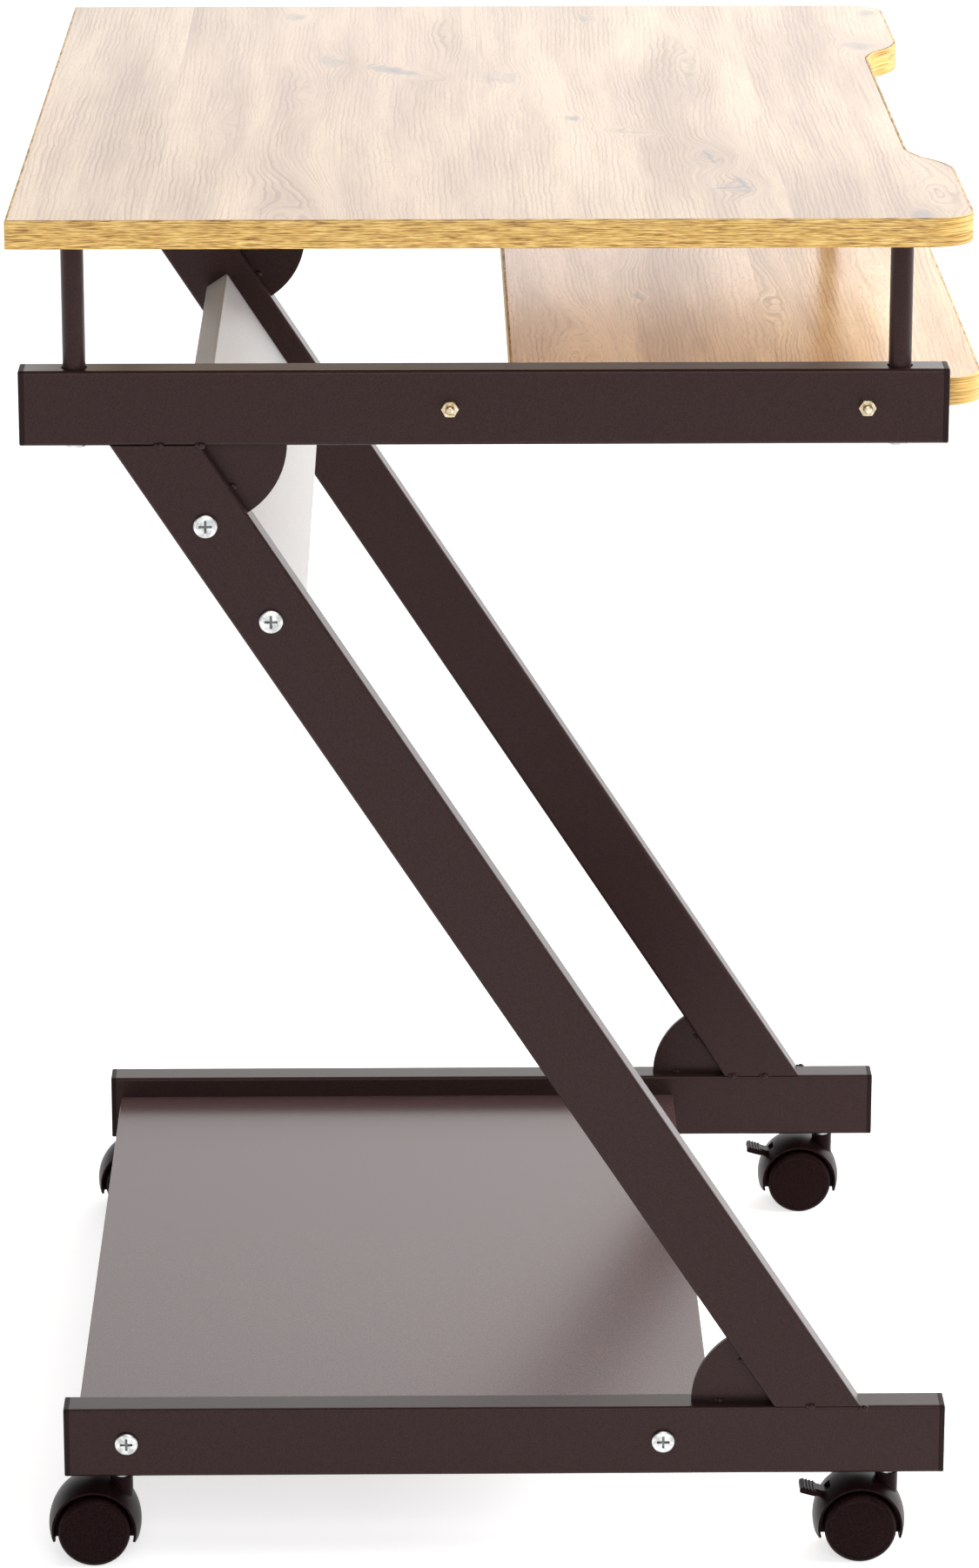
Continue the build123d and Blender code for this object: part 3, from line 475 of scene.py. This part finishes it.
class DESK_OT_tabletop(bpy.types.Operator):
    """Tabletop board and its edge band, cut back in the middle of the front edge"""

    bl_idname = "desk.tabletop"
    bl_label = "Tabletop"

    def execute(self, context):
        sizes, colours = context.scene.desk_sizes, context.scene.desk_colours
        low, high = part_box("tabletop_edge_band")
        # Two equal bends lead from the front edge back into the cut-back: how far each swings, how far its
        # rounding reaches along its edges, and how long both are along the edge.
        swing = math.acos(1 - sizes.cut_back / (2 * sizes.cut_bend))
        reach = sizes.cut_bend * math.tan(swing / 2)
        run = 2 * sizes.cut_bend * math.sin(swing)
        right = [(high.x, high.y, 0), (high.x, low.y, sizes.corner)]
        right.append((sizes.cut_half + run - reach, low.y, reach))
        right.append((sizes.cut_half + reach, low.y + sizes.cut_back, reach))
        outline = right + [(-x, y, rounding) for x, y, rounding in reversed(right)]
        marks = TOP_KNOTS + TOP_CRACKS + TOP_ARCHES
        tones = (colours.oak_pale, colours.oak_late)
        oak = oak_print_melamine("oak_print_melamine_top", *tones, marks, colours, sizes)
        band = oak_edge_band(colours)
        shape = (outline, low.z, high.z - low.z, sizes)
        board, ring = banded_board(*shape, ring=False), banded_board(*shape, ring=True)
        add_piece("tabletop_board", board, oak, "frame", ["tabletop"])
        add_piece("tabletop_band", ring, band, "frame", ["tabletop_edge_band"])
        return {"FINISHED"}


class DESK_OT_keyboard_tray(bpy.types.Operator):
    """Keyboard tray and its edge band, with rounded front corners"""

    bl_idname = "desk.keyboard_tray"
    bl_label = "Keyboard tray"

    def execute(self, context):
        sizes, colours = context.scene.desk_sizes, context.scene.desk_colours
        low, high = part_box("tray_edge_band")
        outline = [(high.x, high.y, 0), (high.x, low.y, sizes.corner)]
        outline += [(low.x, low.y, sizes.corner), (low.x, high.y, 0)]
        # Painted light: the tray's oak is painted lighter than the top's, to make up for the tabletop's shade
        # over it.
        tones = (colours.tray_pale_lightened, colours.tray_late_lightened)
        oak = oak_print_melamine("oak_print_melamine_tray", *tones, TRAY_MARKS, colours, sizes)
        band = bpy.data.materials["oak_print_edge_band"]
        shape = (outline, low.z, high.z - low.z, sizes)
        board, ring = banded_board(*shape, ring=False), banded_board(*shape, ring=True)
        add_piece("tray_board", board, oak, "tray", ["keyboard_tray"])
        add_piece("tray_band", ring, band, "tray", ["tray_edge_band"])
        return {"FINISHED"}


class DESK_OT_plain_boards(bpy.types.Operator):
    """Back panel and bottom shelf in plain pressed melamine"""

    bl_idname = "desk.plain_boards"
    bl_label = "Plain boards"

    def execute(self, context):
        colours = context.scene.desk_colours
        # Pearl-pressed melamine: an even pale tone with a fine tooth that keeps it from shining.
        panel = speckled("grey_melamine_panel", colours.panel, colours.panel_two, 1.2, 0.05, Roughness=0.45)
        dress(panel, "back_panel")
        # Satin melamine: smooth enough to mirror the rails and legs softly.
        satin = {"Roughness": 0.25, "Specular_IOR_Level": 0.7}
        shelf = speckled("taupe_melamine_shelf", colours.shelf, colours.shelf_two, 1.1, 0.03, **satin)
        dress(shelf, "bottom_shelf")
        return {"FINISHED"}


class DESK_OT_side_frames(bpy.types.Operator):
    """Powder-coated side frames, posts and end caps, with the weld beads at the legs and gussets"""

    bl_idname = "desk.side_frames"
    bl_label = "Side frames"

    def execute(self, context):
        sizes, colours = context.scene.desk_sizes, context.scene.desk_colours
        # Fine-textured powder coat on steel: dark brown, a slight orange peel that spreads the highlights.
        gloss = {"Roughness": 0.32, "Specular_IOR_Level": 0.8, "Specular_Tint": linear("8E7E7E")}
        coat = speckled("powder_coated_steel", colours.paint, colours.paint_two, 0.8, 0.06, **gloss)
        painted = [f"{side}_{part}" for side in SIDES for part in ("top_rail", "bottom_rail", "leg")]
        painted += [f"{side}_{row}_post" for side in SIDES for row in ROWS]
        dress(coat, "upper_gussets", "lower_gussets", *painted)
        # Moulded polyethylene plugs: darker and duller than the coat.
        dull = {"Roughness": 0.5, "Specular_IOR_Level": 0.2, "Specular_Tint": linear("D0C4C4")}
        caps = speckled("moulded_polyethylene_caps", colours.cap, colours.paint, 0.8, 0.04, **dull)
        dress(caps, "top_rail_caps", "bottom_rail_caps")
        beads = bmesh.new()
        for side, outwards in SIDES.items():
            low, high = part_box(f"{side}_leg")
            middle = (low.x + high.x) / 2
            for corner, tacks in ((high, UPPER_TACKS), (low, LOWER_TACKS)):
                for out, along, up in tacks:
                    step = Vector((outwards * out, along, up)) * MM
                    self.bead(beads, Vector((middle, corner.y, corner.z)) + step, sizes.bead)
        add_piece("weld_beads", beads, coat, "frame")
        return {"FINISHED"}

    def bead(self, edit, place, size):
        """A tack weld: a flattened lump with a smaller one run into its side."""
        flattened = Matrix.Diagonal((0.75, 1.0, 0.9, 1.0))
        for step, share in ((0.0, 1.0), (0.95, 0.6)):
            spot = Matrix.Translation(place + Vector((0.0, step, 0.2 * step)) * size)
            bmesh.ops.create_icosphere(edit, subdivisions=3, radius=share * size, matrix=spot @ flattened)


class DESK_OT_fasteners(bpy.types.Operator):
    """Bolts, nuts, screws and drawer slides in plated steel"""

    bl_idname = "desk.fasteners"
    bl_label = "Fasteners and slides"

    def execute(self, context):
        colours = context.scene.desk_colours
        # Bright zinc plating: a cool white shine with faint clouds.
        zinc = plated_steel("bright_zinc_plated_steel", colours.zinc, colours.zinc_two)
        dress(zinc, "post_bolts", "tray_screws", "barrel_nuts", "caster_nuts", "tabletop_inserts")
        dress(zinc, *[f"{caster}_caster_{part}" for caster in CASTERS for part in ("stem", "axle")])
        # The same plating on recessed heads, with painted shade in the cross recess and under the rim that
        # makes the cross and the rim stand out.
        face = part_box("connector_bolts")[1].x
        heads = plated_steel("bright_zinc_plated_heads", colours.zinc, colours.zinc_two, face=face)
        dress(heads, "connector_bolts")
        # Nickel plating: warmer than zinc, with stained places.
        nickel = plated_steel("nickel_plated_steel", colours.nickel, colours.nickel_two)
        dress(nickel, "slide_bolts", "slide_nuts")
        # Zinc-plated strip, cold-rolled: the same shine, with long lines that run along the slide.
        rolled = plated_steel("rolled_zinc_plated_strip", colours.zinc_two, colours.zinc, drawn=30.0)
        slides = ("slide_outer", "slide_inner", "ball_cage", "slide_balls")
        dress(rolled, *[f"{side}_{part}" for side in SIDES for part in slides])
        return {"FINISHED"}


class DESK_OT_casters(bpy.types.Operator):
    """Twin-wheel casters: turned wheels, moulded hoods and brake levers"""

    bl_idname = "desk.casters"
    bl_label = "Casters"

    def execute(self, context):
        colours = context.scene.desk_colours
        # Moulded polyamide: near black, a faint spark-eroded tooth and a satin shine.
        satin = {"Roughness": 0.4, "Specular_IOR_Level": 0.15, "Specular_Tint": linear("B08A8A")}
        moulded = speckled("moulded_polyamide", colours.moulded, colours.moulded_two, 0.9, 0.08, **satin)
        for row in ROWS:
            for side, outwards in SIDES.items():
                caster = f"{row}_{side}"
                dress(moulded, f"{caster}_caster_hood")
                if row == "front":
                    dress(moulded, f"{caster}_brake_lever")
                for place, out in (("outer", outwards), ("inner", -outwards)):
                    node = f"{caster}_{place}_wheel"
                    wheel = self.wheel(node, out)
                    add_piece(f"{node}_turned", wheel, moulded, node, [node])
        return {"FINISHED"}

    def wheel(self, node, out):
        """A wheel spun from its half section: blind bore, tread, rounded shoulder and grooved face."""
        low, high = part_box(node)
        centre = (low + high) / 2
        width, radius = high.x - low.x, (high.z - low.z) / 2
        inner = low.x if out > 0 else high.x
        bore, blind = 2.56 * MM, width - 2.5 * MM
        ease, shoulder = 0.8 * MM, 2.75 * MM
        # The face falls back a little from its flat middle to the groove and the rim beyond it.
        flat, edge, rim = 9 * MM, width - 0.1 * MM, width - 0.05 * MM
        groove, groove_floor, hollow = radius - 3.4 * MM, width - 0.32 * MM, 0.4 * MM
        groove_in, groove_out = groove - 0.7 * MM, groove + 0.6 * MM
        # Each corner: across from the inner face, out from the axle, how far its rounding reaches.
        section = [(blind, 0, 0), (blind, bore, 0), (0, bore, 0), (0, radius, ease), (rim, radius, shoulder)]
        section += [(rim, groove_out, 0), (groove_floor, groove, hollow), (edge, groove_in, 0)]
        section += [(width, flat, 0), (width, 0, 0)]
        edit = bmesh.new()
        points = [edit.verts.new((inner + out * x, centre.y, centre.z + up)) for x, up, reach in section]
        for pair in zip(points, points[1:]):
            edit.edges.new(pair)
        roundings = [(point, corner[2]) for point, corner in zip(points, section)]
        round_corners(edit, roundings, WHEEL_SEGMENTS)
        turn = {"cent": centre, "axis": (1, 0, 0), "angle": 2 * math.pi, "steps": TURN_SEGMENTS}
        bmesh.ops.spin(edit, geom=edit.verts[:] + edit.edges[:], use_merge=True, **turn)
        bmesh.ops.remove_doubles(edit, verts=edit.verts, dist=0.002 * MM)
        bmesh.ops.recalc_face_normals(edit, faces=edit.faces)
        return edit


class DESK_OT_stage(bpy.types.Operator):
    """Pale floor, soft studio light and the camera"""

    bl_idname = "desk.stage"
    bl_label = "Studio"

    def execute(self, context):
        scene = context.scene
        scene.view_settings.view_transform = "Standard"
        self.lay_floor(scene)
        self.light_room(scene)
        self.hang_overhead(scene)
        self.hang_softbox(scene, "side_softbox", (-2.7, -0.2, 1.9), (0.0, 0.0, 0.55), (1.8, 1.4), 32)
        front = self.hang_softbox(scene, "front_softbox", (0.1, -2.2, 1.25), (0.0, 0.0, 0.6), (1.8, 1.0), 60)
        # Seen from behind, this lamp's mirror image would hide the grain of the boards.
        front.visible_glossy = False
        self.hang_softbox(scene, "boom_softbox", (0.4, -0.8, 1.9), (0.1, -0.2, 0.7), (0.8, 0.6), 6)
        self.set_camera(scene)
        return {"FINISHED"}

    def lay_floor(self, scene):
        """A wide pale floor."""
        edit = bmesh.new()
        bmesh.ops.create_grid(edit, x_segments=1, y_segments=1, size=15.0)
        mesh = bpy.data.meshes.new("floor")
        edit.to_mesh(mesh)
        edit.free()
        floor = bpy.data.objects.new("floor", mesh)
        scene.collection.objects.link(floor)
        # Lit white acrylic: a matt sheet that glows a little, so that shadows on it stay faint.
        glow = {"Emission_Color": linear("FFFFFF"), "Emission_Strength": 0.66}
        matt = {"Roughness": 0.8, "Specular_IOR_Level": 0.2}
        made, tree, shader, place = new_material("lit_white_acrylic", **matt, **glow)
        cloud = add_node(tree, "TexNoise", {"Vector": place, "Scale": 0.6, "Detail": 2.0}, out="Fac")
        whites = {SHARE: cloud, FROM: linear("E4E4E4"), TO: linear("DEDEDE")}
        white = add_node(tree, "Mix", whites, out=MIXED, data_type="RGBA")
        tree.links.new(white, shader.inputs["Base Color"])
        mesh.materials.append(made)

    def light_room(self, scene):
        """A room with a bright backdrop at the front right, pale walls and a dark ceiling."""
        world = bpy.data.worlds.new("studio")
        world.use_nodes = True
        tree = world.node_tree
        way = add_node(tree, "TexCoord", out="Generated")
        backdrop = {0: way, 1: (0.8, -0.6, 0.0)}
        backdrop = add_node(tree, "VectorMath", backdrop, out="Value", operation="DOT_PRODUCT")
        backdrop = {"Value": backdrop, "From Min": 0.3, "From Max": 1.0, "To Min": 0.06, "To Max": 2.15}
        backdrop = add_node(tree, "MapRange", backdrop, interpolation_type="SMOOTHSTEP")
        height = add_node(tree, "SeparateXYZ", {0: way}, out="Z")
        walls = {"Value": height, "From Min": 0.12, "From Max": 0.4, "To Min": 1.05, "To Max": 0.06}
        walls = add_node(tree, "MapRange", walls, interpolation_type="SMOOTHSTEP")
        glow = add_node(tree, "Math", {0: backdrop, 1: walls}, operation="MAXIMUM")
        tree.links.new(glow, tree.nodes["Background"].inputs["Strength"])
        tree.nodes["Background"].inputs["Color"].default_value = linear("FFFFFF")
        scene.world = world

    def hang_overhead(self, scene):
        """A very soft light from above, a little from the front and the right."""
        light = bpy.data.lights.new("overhead_diffuser", "SUN")
        light.energy = 1.0
        light.angle = math.radians(80)
        lamp = bpy.data.objects.new("overhead_diffuser", light)
        scene.collection.objects.link(lamp)
        lamp.rotation_euler = Vector((-0.25, 0.3, -1.0)).to_track_quat("-Z", "Y").to_euler()

    def hang_softbox(self, scene, name, place, target, size, power):
        """A rectangular softbox that faces a point, its size in metres and its power in watts."""
        light = bpy.data.lights.new(name, "AREA")
        light.shape = "RECTANGLE"
        light.size, light.size_y = size
        light.energy = power
        lamp = bpy.data.objects.new(name, light)
        scene.collection.objects.link(lamp)
        lamp.location = place
        lamp.rotation_euler = (Vector(target) - Vector(place)).to_track_quat("-Z", "Y").to_euler()
        return lamp

    def set_camera(self, scene):
        """A long lens, above the desk and almost square to its left side."""
        lens = bpy.data.cameras.new("camera")
        lens.lens = FOCAL_PIXELS / PICTURE_HEIGHT * lens.sensor_width
        lens.clip_start, lens.clip_end = 0.1, 60.0
        camera = bpy.data.objects.new("camera", lens)
        scene.collection.objects.link(camera)
        scene.camera = camera
        camera.location = CAMERA_PLACE
        level = math.cos(CAMERA_TILT)
        look = (level * math.cos(CAMERA_TURN), level * math.sin(CAMERA_TURN), math.sin(CAMERA_TILT))
        camera.rotation_euler = Vector(look).to_track_quat("-Z", "Y").to_euler()


OPERATORS = (
    DESK_OT_tabletop,
    DESK_OT_keyboard_tray,
    DESK_OT_plain_boards,
    DESK_OT_side_frames,
    DESK_OT_fasteners,
    DESK_OT_casters,
    DESK_OT_stage,
)


class DESK_PT_looks(bpy.types.Panel):
    """The desk's pieces, sizes and colours"""

    bl_idname = "DESK_PT_looks"
    bl_label = "Computer desk"
    bl_space_type = "VIEW_3D"
    bl_region_type = "UI"
    bl_category = "Desk"

    def draw(self, context):
        for operator in OPERATORS:
            self.layout.operator(operator.bl_idname)
        for group in (context.scene.desk_sizes, context.scene.desk_colours):
            for name in group.__annotations__:
                self.layout.prop(group, name)


CLASSES = (DeskSizes, DeskColours, *OPERATORS, DESK_PT_looks)


def register():
    """Register the classes and hang the sizes and colours on the scene."""
    for cls in CLASSES:
        bpy.utils.register_class(cls)
    bpy.types.Scene.desk_sizes = PointerProperty(type=DeskSizes)
    bpy.types.Scene.desk_colours = PointerProperty(type=DeskColours)


def unregister():
    """Take the sizes, colours and classes away again."""
    del bpy.types.Scene.desk_colours
    del bpy.types.Scene.desk_sizes
    for cls in reversed(CLASSES):
        bpy.utils.unregister_class(cls)


def main():
    """Register the classes, then dress the desk and set up the studio."""
    register()
    bpy.ops.desk.tabletop()
    bpy.ops.desk.keyboard_tray()
    bpy.ops.desk.plain_boards()
    bpy.ops.desk.side_frames()
    bpy.ops.desk.fasteners()
    bpy.ops.desk.casters()
    bpy.ops.desk.stage()


if __name__ == "__main__":
    main()
